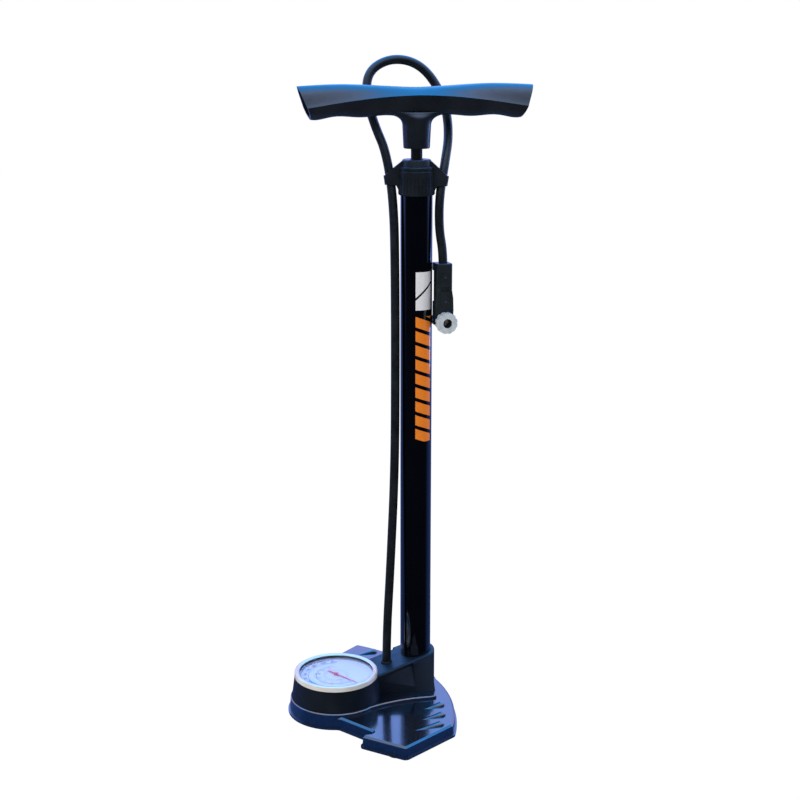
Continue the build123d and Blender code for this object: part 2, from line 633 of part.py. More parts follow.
def movement_frame():
    """Two plates on pillars that carry the pinion and the sector."""
    plan = Rot(0, 0, SECTOR_SIDE) * block((-9, MESH_DISTANCE + 6), (-8, 8), (0, 1.0))
    low = Pos(0, 0, 28.35) * plan
    high = Pos(0, 0, 34.0) * plan
    frame = low + high
    for along, across in ((-6.5, 6.0), (-6.5, -6.0)):
        frame += Rot(0, 0, SECTOR_SIDE) * Pos(along, across, 0) * disc(1.4, 28.4, 34.4)
    frame += Rot(0, 0, SECTOR_SIDE) * Pos(MESH_DISTANCE + 4.6, 0, 0) * disc(1.2, 28.4, 34.4)
    frame -= disc(ARBOR_R + FIT, 20, 40)
    frame -= Rot(0, 0, SECTOR_SIDE) * Pos(MESH_DISTANCE, 0, 0) * disc(ARBOR_R + FIT, 20, 40)
    return at_gauge(frame)


def dial():
    return at_gauge(tube(CASE_R - 1.25, ARBOR_R + 0.5, 37.2, 37.9))


def needle():
    blade = outline([(-11, -1.3), (-11, 1.3), (0, 1.2), (30.5, 0.25), (31.2, 0), (30.5, -0.25), (0, -1.2)])
    body = extrude(Pos(0, 0, 39.0) * blade, amount=0.5) + disc(2.6, 38.7, 40.2)
    body -= disc(ARBOR_R, 38.0, 39.6)
    turn = CLIP_TURN + NEEDLE_REST
    return Pos(0, -GAUGE_OUT, 0) * Rot(0, 0, turn) * body


def lens_seal():
    return at_gauge(tube(42.0, 39.6, CUP_TOP + 0.8, 41.2))


def lens():
    return at_gauge(disc(42.0, 41.2, 42.6))


def bezel():
    ring = turned_profile([
        (GAUGE_R, CUP_TOP + 0.05), (GAUGE_R, 42.6), (42.9, 43.5), (42.1, 44.0), (41.0, 44.1), (39.4, 43.7),
        (38.5, 43.2), (38.5, 42.65), (42.05, 42.65), (42.05, CUP_TOP + 0.85), (42.45, CUP_TOP + 0.8),
        (42.45, CUP_TOP + 0.05)])
    return at_gauge(ring)


# ---- hose --------------------------------------------------------------------------------
def hose_path():
    points = [Vector(*point) for point in HOSE_ROUTE]
    radii = []
    for before, here, after in zip(points, points[1:], points[2:]):
        incoming = here - before
        outgoing = after - here
        half_turn = radians(incoming.get_angle(outgoing)) / 2
        shorter = min(incoming.length, outgoing.length)
        radii.append(0.45 * shorter / tan(half_turn))
    print("hose radii", [round(radius, 1) for radius in radii])
    return FilletPolyline(*points, radius=radii)


def hose():
    path = hose_path()
    section = Circle(HOSE_R) - Circle(HOSE_BORE)
    start = Plane(origin=path @ 0, z_dir=path % 0)
    body = sweep(start * section, path=path)
    expected = pi * (HOSE_R ** 2 - HOSE_BORE ** 2) * path.length
    print("hose length", round(path.length, 1), "volume", round(body.volume), "expected", round(expected))
    return clip_line(body)


# ---- pump head ---------------------------------------------------------------------------
CHAMBER_R = 8.6
HEAD_TOP = 59.0
STEM_X = 8.1                # half of the head's width, across the valve
STEM_Y = 7.6                # half of its depth
HINGE_Y = 9.6
HINGE_PIN_R = 1.5
EAR_R = 4.6
EAR_OUT = 7.2
LEVER_X = 5.5               # half of the lever's width
THROAT_R = 8.2
STEM_R = 4.5                # plunger's stem
RIVET_HEIGHTS = (45.0, 20.8)
PANEL_FACE = 7.2            # floor of the recessed front panel


def along_valve(radius, front, back):
    """A cylinder along the valve's axis, between two distances from the head's centre plane."""
    return Rot(90, 0, 0) * disc(radius, -back, -front)


def sideways(radius, half_length):
    return Rot(0, 90, 0) * Cylinder(radius, 2 * half_length)


def lever_ears():
    """Two cheeks behind the head that hold the lever's pin."""
    ears = []
    for side in (-1, 1):
        reach = sorted((side * (EAR_OUT - 1.2), side * EAR_OUT))
        ears.append(Pos(side * (EAR_OUT - 0.6), HINGE_Y, 0) * sideways(EAR_R, 0.6))
        ears.append(block(reach, (5, HINGE_Y), (-EAR_R, EAR_R)))
        ears.append(block(reach, (5, HINGE_Y + 1.4), (0, 19)))
    return ears


def head_body():
    """Moulded body: a stem round the hose end and a chamber for the valve gland."""
    stem = block((-STEM_X, STEM_X), (-STEM_Y, STEM_Y), (0, HEAD_TOP))
    stem = fillet(upright_edges(stem), 3.2)
    stem = fillet(edges_at(stem, HEAD_TOP), 1.4)
    half = [(STEM_X - 0.8, 33.0), (STEM_X + 0.7, 24.0), (9.2, 12.0), (CHAMBER_R, 0.0)]
    shoulders = extrude(Plane.XZ * outline(half + [(-x, z) for x, z in reversed(half)]), amount=10.0)
    shoulders = Pos(0, 2.4, 0) * fillet(shoulders.faces().sort_by(Axis.Y)[0].edges(), 1.0)
    body = stem + shoulders + along_valve(CHAMBER_R, -8.0, 3.5) + along_valve(THROAT_R, -13.5, -6.5)
    body += lever_ears()
    panel = fillet(block((-5.6, 5.6), (-9.0, -PANEL_FACE), (16.0, 50.0)).edges().filter_by(Axis.Y), 2.0)
    body -= panel
    body -= fillet(upright_edges(block((-4.0, 4.0), (-9.6, -6.0), (31.0, 35.4))), 0.6)
    for height in RIVET_HEIGHTS:
        body -= Pos(0, 0, height) * along_valve(1.3, -9.0, -3.0)
    for side in (-1, 1):
        for number in range(4):
            body -= Pos(side * (STEM_X + 0.3), 0, 38.0 + number * 4.0) * Box(1.6, 8.0, 1.6)
    body -= along_valve(7.2, -16.0, -2.6)
    body -= along_valve(STEM_R + FIT, -16.0, 16.0)
    body -= disc(HOSE_R + GAP, HOSE_END[2] - HEAD_HEIGHT, HEAD_TOP + 1)
    body -= disc(1.8, 2, HEAD_TOP - 5)
    body -= Pos(0, HINGE_Y, 0) * (sideways(HINGE_PIN_R + FIT, 15) + sideways(EAR_R, EAR_OUT - 1.2))
    return at_head(body)


def head_rivets():
    rivet = along_valve(1.7, -8.0, -7.25) + along_valve(1.25, -7.25, -3.5)
    return at_head(Compound(children=[Pos(0, 0, height) * rivet for height in RIVET_HEIGHTS]))


def head_nipple():
    """Barbed tube that joins the hose to the valve chamber."""
    low = HOSE_END[2] - HEAD_HEIGHT
    collar = tube(1.75, 1.2, low - 6, low)
    barbs = Pos(0, 0, low) * (barbed_nipple(0, 13.0, 0.1) & disc(HOSE_BORE - 0.1, 0, 14))
    return at_head(collar + barbs)


def head_lever():
    """Thumb lever folded up along the back of the head, hinged behind the valve."""
    blade = fillet(upright_edges(block((-LEVER_X, LEVER_X), (-1.4, 2.6), (0, 54.0))), 1.2)
    thumb = block((-6.5, 6.5), (-1.2, 4.6), (50.0, 58.0))
    thumb = fillet(thumb.edges().filter_by(Axis.X), 1.1)
    body = sideways(4.0, LEVER_X) + blade + thumb
    body += [Pos(0, 2.9, 30.0 + number * 5.0) * sideways(1.0, 4.0) for number in range(4)]
    body -= sideways(HINGE_PIN_R + FIT, 10)
    return at_head(Pos(0, HINGE_Y, 0) * body)


def lever_pin():
    return at_head(Pos(0, HINGE_Y, 0) * sideways(HINGE_PIN_R, EAR_OUT))


def head_plunger():
    """Plunger that the lever's hub presses against the rubber gland."""
    body = along_valve(STEM_R, -3.3, 5.5) + along_valve(7.1, -4.4, -2.8)
    body -= along_valve(1.5, -5.0, -1.0)
    return at_head(body)


def core_pin():
    """Brass pin that opens the tyre valve's core."""
    return at_head(along_valve(1.45, -5.0, -1.1))


def valve_gland():
    return at_head(along_valve(7.0, -14.6, -6.0) - along_valve(4.0, -16.0, -5.0))


def lock_nut():
    """Scalloped nut that holds the rubber gland in the valve end."""
    nut = disc(10.8, 8.7, 16.2)
    nut -= disc(THROAT_R + FIT, 8, 14.7)
    nut -= disc(4.7, 8, 17)
    nut = chamfer([edge for edge in edges_at(nut, 16.2) if edge.radius > 8], 1.0)
    scallop = Pos(11.9, 0, 12) * Cylinder(1.9, 12)
    nut -= [Rot(0, 0, number * 30.0) * scallop for number in range(12)]
    return at_head(Rot(90, 0, 0) * nut)


# ---- write -------------------------------------------------------------------------------
NODES = [
    base_plate, floor_pads, base_screws, housing, hose_grommet, valve_block, block_seal, check_disc,
    check_spring, air_manifold, hose_nipple, barrel, cap, rod_guide, rod_wiper, rod_bumper, piston_rod,
    piston_body, piston_seal, wear_ring, piston_screw, handle, rod_nut, gauge_case, gauge_socket,
    bourdon_tube, needle_arbor, sector_gear, movement_frame, dial, needle, lens_seal, lens, bezel, hose,
    head_body, head_rivets, head_nipple, head_lever, lever_pin, head_plunger, core_pin, valve_gland, lock_nut,
]
os.makedirs("parts", exist_ok=True)
for make in NODES:
    export_step(make(), f"parts/{make.__name__}.step")
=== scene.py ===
"""Floor pump with a gauge: materials, printed dial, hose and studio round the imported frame. Metres, +Z up."""
from math import cos, pi, radians, sin

import bmesh
import bpy
from mathutils import Matrix, Vector


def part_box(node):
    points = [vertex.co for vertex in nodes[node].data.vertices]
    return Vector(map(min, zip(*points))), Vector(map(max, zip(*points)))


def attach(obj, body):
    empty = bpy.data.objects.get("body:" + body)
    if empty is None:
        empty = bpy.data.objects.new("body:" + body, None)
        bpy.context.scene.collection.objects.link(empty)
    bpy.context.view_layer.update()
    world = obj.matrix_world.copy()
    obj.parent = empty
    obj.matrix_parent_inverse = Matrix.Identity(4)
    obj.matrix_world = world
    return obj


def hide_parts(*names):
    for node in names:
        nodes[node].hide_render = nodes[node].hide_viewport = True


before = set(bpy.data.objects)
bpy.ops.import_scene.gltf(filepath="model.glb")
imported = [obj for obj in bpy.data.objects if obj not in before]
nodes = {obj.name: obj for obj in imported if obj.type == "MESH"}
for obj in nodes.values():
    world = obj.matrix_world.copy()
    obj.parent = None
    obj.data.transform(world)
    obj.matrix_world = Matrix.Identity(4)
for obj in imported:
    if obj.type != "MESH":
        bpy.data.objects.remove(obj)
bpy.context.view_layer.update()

MM = 0.001


# ---- camera ------------------------------------------------------------------------------
VIEW_TURN = radians(62.5)       # the camera looks this far round from +Y
VIEW_PITCH = radians(14.3)      # and this far down
VIEW_BACK = 1.4468              # level distance from the barrel's axis
VIEW_LEFT = 0.01634             # the camera stands this far to the left of it
VIEW_HEIGHT = 0.69218
LENS = 65.56

RIGHT = Vector((cos(VIEW_TURN), sin(VIEW_TURN), 0))
AHEAD = Vector((-sin(VIEW_TURN), cos(VIEW_TURN), 0))
UP = Vector((0, 0, 1))


def in_view(right, ahead, up):
    """A point given along the camera's right, away from it, and up from the floor under the barrel."""
    return RIGHT * right + AHEAD * ahead + UP * up


def add_camera():
    data = bpy.data.cameras.new("camera")
    data.lens = LENS
    data.sensor_width = 36
    data.clip_end = 20
    camera = bpy.data.objects.new("camera", data)
    camera.location = in_view(-VIEW_LEFT, -VIEW_BACK, VIEW_HEIGHT)
    camera.rotation_euler = (pi / 2 - VIEW_PITCH, 0, VIEW_TURN)
    bpy.context.scene.collection.objects.link(camera)
    bpy.context.scene.camera = camera


add_camera()


# ---- material helpers --------------------------------------------------------------------
class Shader:
    """A material's node tree, with short calls for the nodes that the finishes share."""

    def __init__(self, name):
        self.material = bpy.data.materials.new(name)
        self.material.use_nodes = True
        self.tree = self.material.node_tree
        self.bsdf = self.tree.nodes["Principled BSDF"]
        self.place = self.tree.nodes.new("ShaderNodeTexCoord").outputs["Object"]

    def set(self, **values):
        for name, value in values.items():
            socket = self.bsdf.inputs[name.replace("_", " ")]
            socket.default_value = (*value, 1.0) if isinstance(value, tuple) else value
        return self

    def link(self, start, end):
        self.tree.links.new(start, end)

    def node(self, kind, inputs=None, **settings):
        made = self.tree.nodes.new("ShaderNode" + kind)
        for name, value in settings.items():
            setattr(made, name, value)
        for name, value in (inputs or {}).items():
            socket = made.inputs[name]
            if isinstance(value, bpy.types.NodeSocket):
                self.link(value, socket)
            else:
                socket.default_value = value
        return made

    def math(self, operation, first, second=0.0, third=0.0, clamp=False):
        made = self.node("Math", {0: first, 1: second, 2: third}, operation=operation, use_clamp=clamp)
        return made.outputs[0]

    def xyz(self, vector=None):
        made = self.node("SeparateXYZ", {0: vector or self.place})
        return made.outputs["X"], made.outputs["Y"], made.outputs["Z"]

    def stretched(self, x, y, z):
        """Object coordinates scaled unevenly, for grain that runs one way."""
        return self.node("Mapping", {"Vector": self.place, "Scale": (x, y, z)}).outputs[0]

    def noise(self, scale, detail=4.0, roughness=0.55, vector=None):
        inputs = {"Vector": vector or self.place, "Scale": scale, "Detail": detail, "Roughness": roughness}
        return self.node("TexNoise", inputs).outputs["Fac"]

    def ramp(self, value, stops):
        """A colour ramp from (position, colour or grey) stops."""
        made = self.node("ValToRGB", {"Fac": value})
        elements = made.color_ramp.elements
        while len(elements) < len(stops):
            elements.new(0.5)
        for element, (position, shade) in zip(elements, stops):
            element.position = position
            element.color = (shade, shade, shade, 1) if isinstance(shade, float) else (*shade, 1)
        return made.outputs["Color"]

    def between(self, value, low, high, soft):
        """1 where value lies between low and high, with soft edges."""
        rise = self.math("MULTIPLY_ADD", value, 1 / soft, 0.5 - low / soft, clamp=True)
        fall = self.math("MULTIPLY_ADD", value, -1 / soft, 0.5 + high / soft, clamp=True)
        return self.math("MULTIPLY", rise, fall)

    def mix(self, factor, first, second):
        """Blend of two colours."""
        made = self.node("Mix", data_type="RGBA")
        for socket, value in ((made.inputs[0], factor), (made.inputs[6], first), (made.inputs[7], second)):
            if isinstance(value, bpy.types.NodeSocket):
                self.link(value, socket)
            elif isinstance(value, tuple):
                socket.default_value = (*value, 1)
            else:
                socket.default_value = value
        return made.outputs[2]

    def colour(self, value):
        self.link(value, self.bsdf.inputs["Base Color"])

    def vary_colour(self, noise, dark, light):
        self.colour(self.ramp(noise, [(0.35, dark), (0.65, light)]))

    def vary_roughness(self, noise, low, high):
        inputs = {"Value": noise, "From Min": 0.3, "From Max": 0.7, "To Min": low, "To Max": high}
        spread = self.node("MapRange", inputs)
        self.link(spread.outputs[0], self.bsdf.inputs["Roughness"])

    def bump(self, height, distance, strength):
        inputs = {"Height": height, "Distance": distance, "Strength": strength}
        self.link(self.node("Bump", inputs).outputs[0], self.bsdf.inputs["Normal"])


def paint(material, *names):
    """Gives CAD nodes one material."""
    for name in names:
        slots = nodes[name].data.materials
        slots.clear()
        slots.append(material)
        for face in nodes[name].data.polygons:
            face.material_index = 0


# ---- hose --------------------------------------------------------------------------------
HOSE_DIAMETER = 0.009
HOSE_ROUTE = [              # right, ahead and up, in the camera's own directions, in millimetres
    (-30.7, -16.0, 28.0), (-30.7, -16.0, 68.0), (-26.2, -13.0, 150.0), (-21.6, -10.0, 255.0),
    (-21.0, -8.6, 365.0), (-21.2, -6.5, 455.0), (-22.4, -3.0, 523.0), (-29.4, 4.6, 573.0),
    (-41.5, 12.0, 600.0), (-50.0, 20.0, 628.0), (-48.0, 28.0, 651.0), (-29.0, 36.0, 663.0),
    (-6.0, 42.0, 662.0), (13.0, 44.0, 649.0), (28.5, 39.0, 622.0), (32.8, 26.0, 591.0),
    (27.8, 6.2, 562.0), (22.6, -2.8, 532.0), (22.3, -4.6, 500.0), (26.6, -5.0, 476.0),
    (26.6, -5.0, 458.0),
]


def add_hose():
    curve = bpy.data.curves.new("pump_hose", "CURVE")
    curve.dimensions = "3D"
    spline = curve.splines.new("NURBS")
    spline.points.add(len(HOSE_ROUTE) - 1)
    places = [in_view(*point) * MM for point in HOSE_ROUTE]
    for point, place in zip(spline.points, places):
        point.co = (*place, 1)
    spline.order_u = 3
    spline.use_endpoint_u = True
    spline.resolution_u = 14
    curve.bevel_depth = HOSE_DIAMETER / 2
    curve.bevel_resolution = 9
    curve.use_fill_caps = True
    hose = bpy.data.objects.new("pump_hose", curve)
    bpy.context.scene.collection.objects.link(hose)
    curve.materials.append(hose_rubber().material)
    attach(hose, "root")
    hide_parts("hose")


def hose_rubber():
    """Smooth extruded rubber with faint lengthways drag marks and a waxy bloom."""
    shader = Shader("hose_rubber")
    bloom = shader.noise(45.0, 6.0, 0.6)
    shader.vary_colour(bloom, (0.005, 0.007, 0.008), (0.012, 0.016, 0.018))
    shader.vary_roughness(shader.noise(180.0, 5.0), 0.30, 0.46)
    shader.bump(shader.noise(1.0, 3.0, vector=shader.stretched(1400.0, 1400.0, 160.0)), 0.00005, 0.5)
    shader.set(Specular_IOR_Level=0.3)
    return shader


add_hose()


# ---- finishes ----------------------------------------------------------------------------
def moulded_plastic(name, dark, light, roughness):
    """Dull moulded plastic: fine spark grain, faint cloudiness and handling marks."""
    shader = Shader(name)
    cloud = shader.noise(35.0, 5.0)
    shader.vary_colour(cloud, dark, light)
    shader.vary_roughness(shader.noise(120.0, 6.0), roughness - 0.06, roughness + 0.08)
    shader.bump(shader.noise(900.0, 3.0, 0.6), 0.00006, 0.6)
    shader.set(Specular_IOR_Level=0.22)
    return shader


def black_rubber(name):
    """Soft black rubber with a faint bloom."""
    shader = Shader(name)
    shader.vary_colour(shader.noise(60.0, 5.0), (0.008, 0.009, 0.010), (0.018, 0.019, 0.021))
    shader.vary_roughness(shader.noise(300.0, 4.0), 0.5 - 0.08, 0.5 + 0.08)
    shader.bump(shader.noise(1500.0, 2.0), 0.00004, 0.5)
    shader.set(Specular_IOR_Level=0.2)
    return shader


def metal(name, colour, roughness):
    """Bare metal with a fine even grain."""
    shader = Shader(name)
    shader.set(Metallic=1.0)
    dark = tuple(0.82 * part for part in colour)
    lines = shader.noise(1.0, 4.0, vector=shader.stretched(700.0, 700.0, 700.0))
    shader.vary_colour(lines, dark, colour)
    shader.vary_roughness(lines, roughness - 0.06, roughness + 0.08)
    shader.bump(lines, 0.00002, 0.35)
    return shader


# ---- studio ------------------------------------------------------------------------------
def add_world():
    """White for the camera, an even soft light for matt surfaces and a gradient sky for gloss."""
    world = bpy.data.worlds.new("studio")
    world.use_nodes = True
    tree = world.node_tree
    tree.nodes.clear()

    def node(kind, **settings):
        made = tree.nodes.new("ShaderNode" + kind)
        for name, value in settings.items():
            setattr(made, name, value)
        return made

    def ramp(value, stops):
        made = node("ValToRGB")
        elements = made.color_ramp.elements
        while len(elements) < len(stops):
            elements.new(0.5)
        for element, (position, shade) in zip(elements, stops):
            element.position = position
            element.color = (*shade, 1)
        tree.links.new(value, made.inputs[0])
        return made.outputs[0]

    def background(colour, strength):
        made = node("Background")
        made.inputs["Strength"].default_value = strength
        if isinstance(colour, tuple):
            made.inputs["Color"].default_value = (*colour, 1)
        else:
            tree.links.new(colour, made.inputs["Color"])
        return made.outputs[0]

    direction = node("TexCoord").outputs["Generated"]
    split = node("SeparateXYZ")
    tree.links.new(direction, split.inputs[0])
    height = node("MapRange")
    height.inputs["From Min"].default_value = -1
    tree.links.new(split.outputs["Z"], height.inputs["Value"])
    ahead = node("VectorMath", operation="DOT_PRODUCT")
    ahead.inputs[1].default_value = AHEAD
    tree.links.new(direction, ahead.inputs[0])
    behind = node("MapRange", interpolation_type="SMOOTHSTEP")
    behind.inputs["From Min"].default_value = -0.25
    behind.inputs["From Max"].default_value = 0.25
    tree.links.new(ahead.outputs["Value"], behind.inputs["Value"])

    far_sky = ramp(height.outputs[0], SKY_BEHIND)
    near_sky = ramp(height.outputs[0], SKY_IN_FRONT)
    sky = node("Mix", data_type="RGBA")
    tree.links.new(behind.outputs[0], sky.inputs[0])
    tree.links.new(near_sky, sky.inputs[6])
    tree.links.new(far_sky, sky.inputs[7])

    rays = node("LightPath")
    gloss = node("MixShader")
    tree.links.new(rays.outputs["Is Glossy Ray"], gloss.inputs[0])
    tree.links.new(background((0.86, 0.90, 1.0), SOFT_LIGHT), gloss.inputs[1])
    tree.links.new(background(sky.outputs[2], SKY_LIGHT), gloss.inputs[2])
    seen = node("MixShader")
    tree.links.new(rays.outputs["Is Camera Ray"], seen.inputs[0])
    tree.links.new(gloss.outputs[0], seen.inputs[1])
    tree.links.new(background((1, 1, 1), 1.0), seen.inputs[2])
    output = node("OutputWorld")
    tree.links.new(seen.outputs[0], output.inputs[0])
    bpy.context.scene.world = world


# Colours by height, from straight down at 0 through the horizon at 0.5 to straight up at 1.
SKY_LIGHT = 10.0
SOFT_LIGHT = 0.42
SKY_BEHIND = [
    (0.0, (0.002, 0.004, 0.012)), (0.36, (0.006, 0.012, 0.04)), (0.48, (0.03, 0.045, 0.12)),
    (0.56, (0.11, 0.12, 0.27)), (0.70, (0.12, 0.14, 0.34)), (0.82, (0.05, 0.30, 0.80)),
    (1.0, (0.02, 0.34, 0.95))]
SKY_IN_FRONT = [
    (0.0, (0.0008, 0.0014, 0.003)), (0.45, (0.0008, 0.0014, 0.003)), (0.62, (0.003, 0.006, 0.014)),
    (0.82, (0.12, 0.15, 0.22)), (0.93, (0.26, 0.31, 0.44)), (1.0, (0.02, 0.34, 0.95))]


def add_floor():
    """A pale floor that is even enough to leave only a faint shadow."""
    floor_mesh = bpy.data.meshes.new("floor")
    half = 6.0
    corners = [(-half, -half, 0), (half, -half, 0), (half, half, 0), (-half, half, 0)]
    floor_mesh.from_pydata(corners, [], [(0, 1, 2, 3)])
    floor = bpy.data.objects.new("floor", floor_mesh)
    bpy.context.scene.collection.objects.link(floor)
    shader = Shader("floor_pale")
    shader.set(Base_Color=(0.10, 0.10, 0.10), Roughness=1.0, Specular_IOR_Level=0.0)
    shader.set(Emission_Color=(1, 1, 1), Emission_Strength=0.97)
    floor_mesh.materials.append(shader.material)
    floor.visible_glossy = False


def add_light(name, place, target, size, power, colour, glossy=True):
    data = bpy.data.lights.new(name, "AREA")
    data.shape = "RECTANGLE"
    data.size, data.size_y = size
    data.energy = power
    data.color = colour
    light = bpy.data.objects.new(name, data)
    light.location = place
    light.rotation_euler = (target - place).to_track_quat("-Z", "Y").to_euler()
    light.visible_glossy = glossy
    light.visible_camera = False
    bpy.context.scene.collection.objects.link(light)


add_world()
add_floor()
LIGHT_AIM = Vector((0, 0, 0.33))
add_light("key", in_view(-1.6, -1.5, 2.2), LIGHT_AIM, (1.2, 1.2), 22, (1, 0.98, 0.96), glossy=False)
add_light("rim", in_view(1.5, 0.9, 0.7), LIGHT_AIM, (0.25, 1.6), 8, (0.3, 0.5, 1.0))
bpy.context.scene.view_settings.view_transform = "Standard"


# ---- barrel and its printed panel --------------------------------------------------------
BARREL_R = 0.016
PANEL_TURN = radians(2.0)       # the printed panel faces along the near wing
MARK_HALF_ARC = 0.0090
BADGE = (0.4195, 0.4580)        # bottom and top of the white badge
BARS = (0.2830, 0.4130)         # bottom and top of the row of orange bars
BAR_PITCH = 0.0145
BAR_HEIGHT = 0.0108
BAR_SLANT = 0.38
SLIT_SLANT = -0.9               # the slit across the badge
SLIT_HALF = 0.0013
EDGE = 0.00018


def lacquer():
    """Gloss black lacquer with faint orange peel, and a generic printed panel of a badge and slanted bars."""
    shader = Shader("barrel_lacquer")
    x, y, z = shader.xyz()
    turn = shader.math("SUBTRACT", shader.math("ARCTAN2", y, x), PANEL_TURN)
    arc = shader.math("MULTIPLY", turn, BARREL_R)
    across = shader.between(arc, -MARK_HALF_ARC, MARK_HALF_ARC, EDGE)

    slanted = shader.math("MULTIPLY_ADD", arc, BAR_SLANT, z)
    steps = shader.math("SUBTRACT", slanted, BARS[0])
    phase = shader.math("MULTIPLY", shader.math("FRACT", shader.math("DIVIDE", steps, BAR_PITCH)), BAR_PITCH)
    bars = shader.between(phase, EDGE, BAR_HEIGHT, EDGE)
    bars = shader.math("MULTIPLY", bars, shader.between(z, BARS[0], BARS[1], EDGE))
    bars = shader.math("MULTIPLY", bars, across)

    badge = shader.math("MULTIPLY", shader.between(z, BADGE[0], BADGE[1], EDGE), across)
    rising = shader.math("MULTIPLY_ADD", arc, SLIT_SLANT, z)
    middle_height = sum(BADGE) / 2
    slit = shader.between(rising, middle_height - SLIT_HALF, middle_height + SLIT_HALF, EDGE)
    badge = shader.math("MULTIPLY", badge, shader.math("SUBTRACT", 1.0, slit))

    haze = shader.noise(14.0, 5.0)
    paint_colour = shader.ramp(haze, [(0.3, (0.0007, 0.0008, 0.0013)), (0.7, (0.0014, 0.0016, 0.0026))])
    ink_wear = shader.noise(800.0, 4.0)
    orange = shader.ramp(ink_wear, [(0.3, (0.86, 0.20, 0.012)), (0.7, (0.95, 0.28, 0.03))])
    white = shader.ramp(ink_wear, [(0.3, (0.78, 0.78, 0.80)), (0.7, (0.90, 0.90, 0.92))])
    shader.colour(shader.mix(badge, shader.mix(bars, paint_colour, orange), white))
    shader.vary_roughness(shader.noise(60.0, 6.0), 0.05, 0.12)
    shader.bump(shader.noise(420.0, 2.0), 0.00003, 0.18)
    shader.set(Coat_Weight=0.6, Coat_Roughness=0.03)
    return shader


paint(lacquer().material, "barrel")


# ---- mouldings ---------------------------------------------------------------------------
GLINT_HEIGHTS = (0.0154, 0.0168)         # heights of the painted bronze glint along the edge of the foot's raised step


def gloss_moulding():
    """Polished plastic of the foot: near black on top, with a painted navy reflection on its walls and a
    painted bronze glint along the step's edge.
    """
    shader = Shader("base_gloss")
    dust_and_reflection_mottle = shader.noise(240.0, 8.0, 0.7)
    top = shader.ramp(dust_and_reflection_mottle, [(0.35, (0.0030, 0.0050, 0.0120)), (0.65, (0.0060, 0.0090, 0.0200))])
    # Painted reflection: upright faces get a navy colour that stands in for the light the gloss walls reflect;
    # the noise mottles it.
    painted_wall_reflection = shader.ramp(dust_and_reflection_mottle, [(0.35, (0.0040, 0.0180, 0.0700)), (0.65, (0.0060, 0.0240, 0.0900))])
    facing = shader.node("SeparateXYZ", {"Vector": shader.node("NewGeometry").outputs["Normal"]})
    upright = shader.between(facing.outputs[2], -0.4, 0.4, 0.2)
    height = shader.xyz()[2]
    # Painted glint: a bronze band at the step's edge height, on faces that slope upward.
    bevelled = shader.between(facing.outputs[2], 0.5, 0.9, 0.1)
    painted_glint = shader.math("MULTIPLY", shader.between(height, GLINT_HEIGHTS[0], GLINT_HEIGHTS[1], 0.0002), bevelled)
    shader.colour(shader.mix(painted_glint, shader.mix(upright, top, painted_wall_reflection), (0.13, 0.075, 0.03)))
    scratches = shader.noise(1.0, 5.0, 0.7, shader.stretched(60.0, 1600.0, 60.0))
    shader.vary_roughness(scratches, 0.09, 0.20)
    shader.bump(shader.noise(70.0, 3.0), 0.00010, 0.25)
    shader.set(Coat_Weight=0.3, Coat_Roughness=0.05)
    return shader


def lined_moulding():
    """Dull housing plastic with fine level lines, as its mould was machined."""
    shader = Shader("housing_lined")
    shader.vary_colour(shader.noise(30.0, 5.0), (0.0045, 0.0075, 0.0120), (0.0085, 0.0130, 0.0210))
    shader.vary_roughness(shader.noise(150.0, 6.0), 0.38, 0.55)
    lines = shader.noise(1.0, 3.0, 0.7, shader.stretched(6.0, 6.0, 900.0))
    grain = shader.noise(1300.0, 2.0)
    shader.bump(shader.math("MULTIPLY_ADD", grain, 0.35, lines), 0.00012, 0.5)
    shader.set(Specular_IOR_Level=0.16)
    return shader


def grip_moulding():
    """Satin grip plastic, a little polished by hands, with moulding flow marks."""
    shader = Shader("grip_satin")
    shader.vary_colour(shader.noise(25.0, 5.0), (0.0050, 0.0075, 0.0110), (0.0090, 0.0125, 0.0180))
    shader.vary_roughness(shader.noise(90.0, 6.0, 0.6), 0.26, 0.38)
    shader.bump(shader.noise(1100.0, 3.0, 0.6), 0.00005, 0.5)
    return shader


base_finish = gloss_moulding()
housing_finish = lined_moulding()
grip_finish = grip_moulding()
cap_finish = moulded_plastic("cap_satin", (0.006, 0.009, 0.012), (0.012, 0.016, 0.021), 0.42)
head_finish = moulded_plastic("head_satin", (0.009, 0.014, 0.016), (0.017, 0.024, 0.027), 0.38)
natural_finish = moulded_plastic("natural_acetal", (0.62, 0.61, 0.56), (0.74, 0.73, 0.68), 0.40)
rubber_finish = black_rubber("soft_rubber")
steel_finish = metal("zinc_steel", (0.62, 0.62, 0.64), 0.32)
brass_finish = metal("turned_brass", (0.78, 0.58, 0.26), 0.28)
case_finish = metal("case_steel", (0.42, 0.42, 0.44), 0.40)
paint(base_finish.material, "base_plate")
paint(housing_finish.material, "housing")
paint(grip_finish.material, "handle")
paint(cap_finish.material, "cap")
paint(head_finish.material, "head_body", "head_lever")
paint(natural_finish.material, "valve_block", "air_manifold", "rod_guide", "piston_body", "wear_ring",
      "head_plunger")
paint(rubber_finish.material, "floor_pads", "hose_grommet", "block_seal", "check_disc", "rod_wiper",
      "rod_bumper", "piston_seal", "lens_seal", "valve_gland", "hose")
paint(steel_finish.material, "base_screws", "check_spring", "piston_screw", "rod_nut", "lever_pin",
      "head_rivets")
paint(brass_finish.material, "hose_nipple", "gauge_socket", "bourdon_tube", "needle_arbor", "sector_gear",
      "movement_frame", "head_nipple", "core_pin")
paint(case_finish.material, "gauge_case")


def blackened_rod():
    """Dark phosphated rod with fine lengthways wear from the guide."""
    shader = Shader("rod_dark")
    wear = shader.noise(1.0, 5.0, 0.7, shader.stretched(900.0, 900.0, 18.0))
    shader.vary_colour(wear, (0.010, 0.011, 0.014), (0.030, 0.032, 0.036))
    shader.vary_roughness(wear, 0.22, 0.36)
    shader.bump(wear, 0.00003, 0.4)
    shader.set(Metallic=0.6)
    return shader


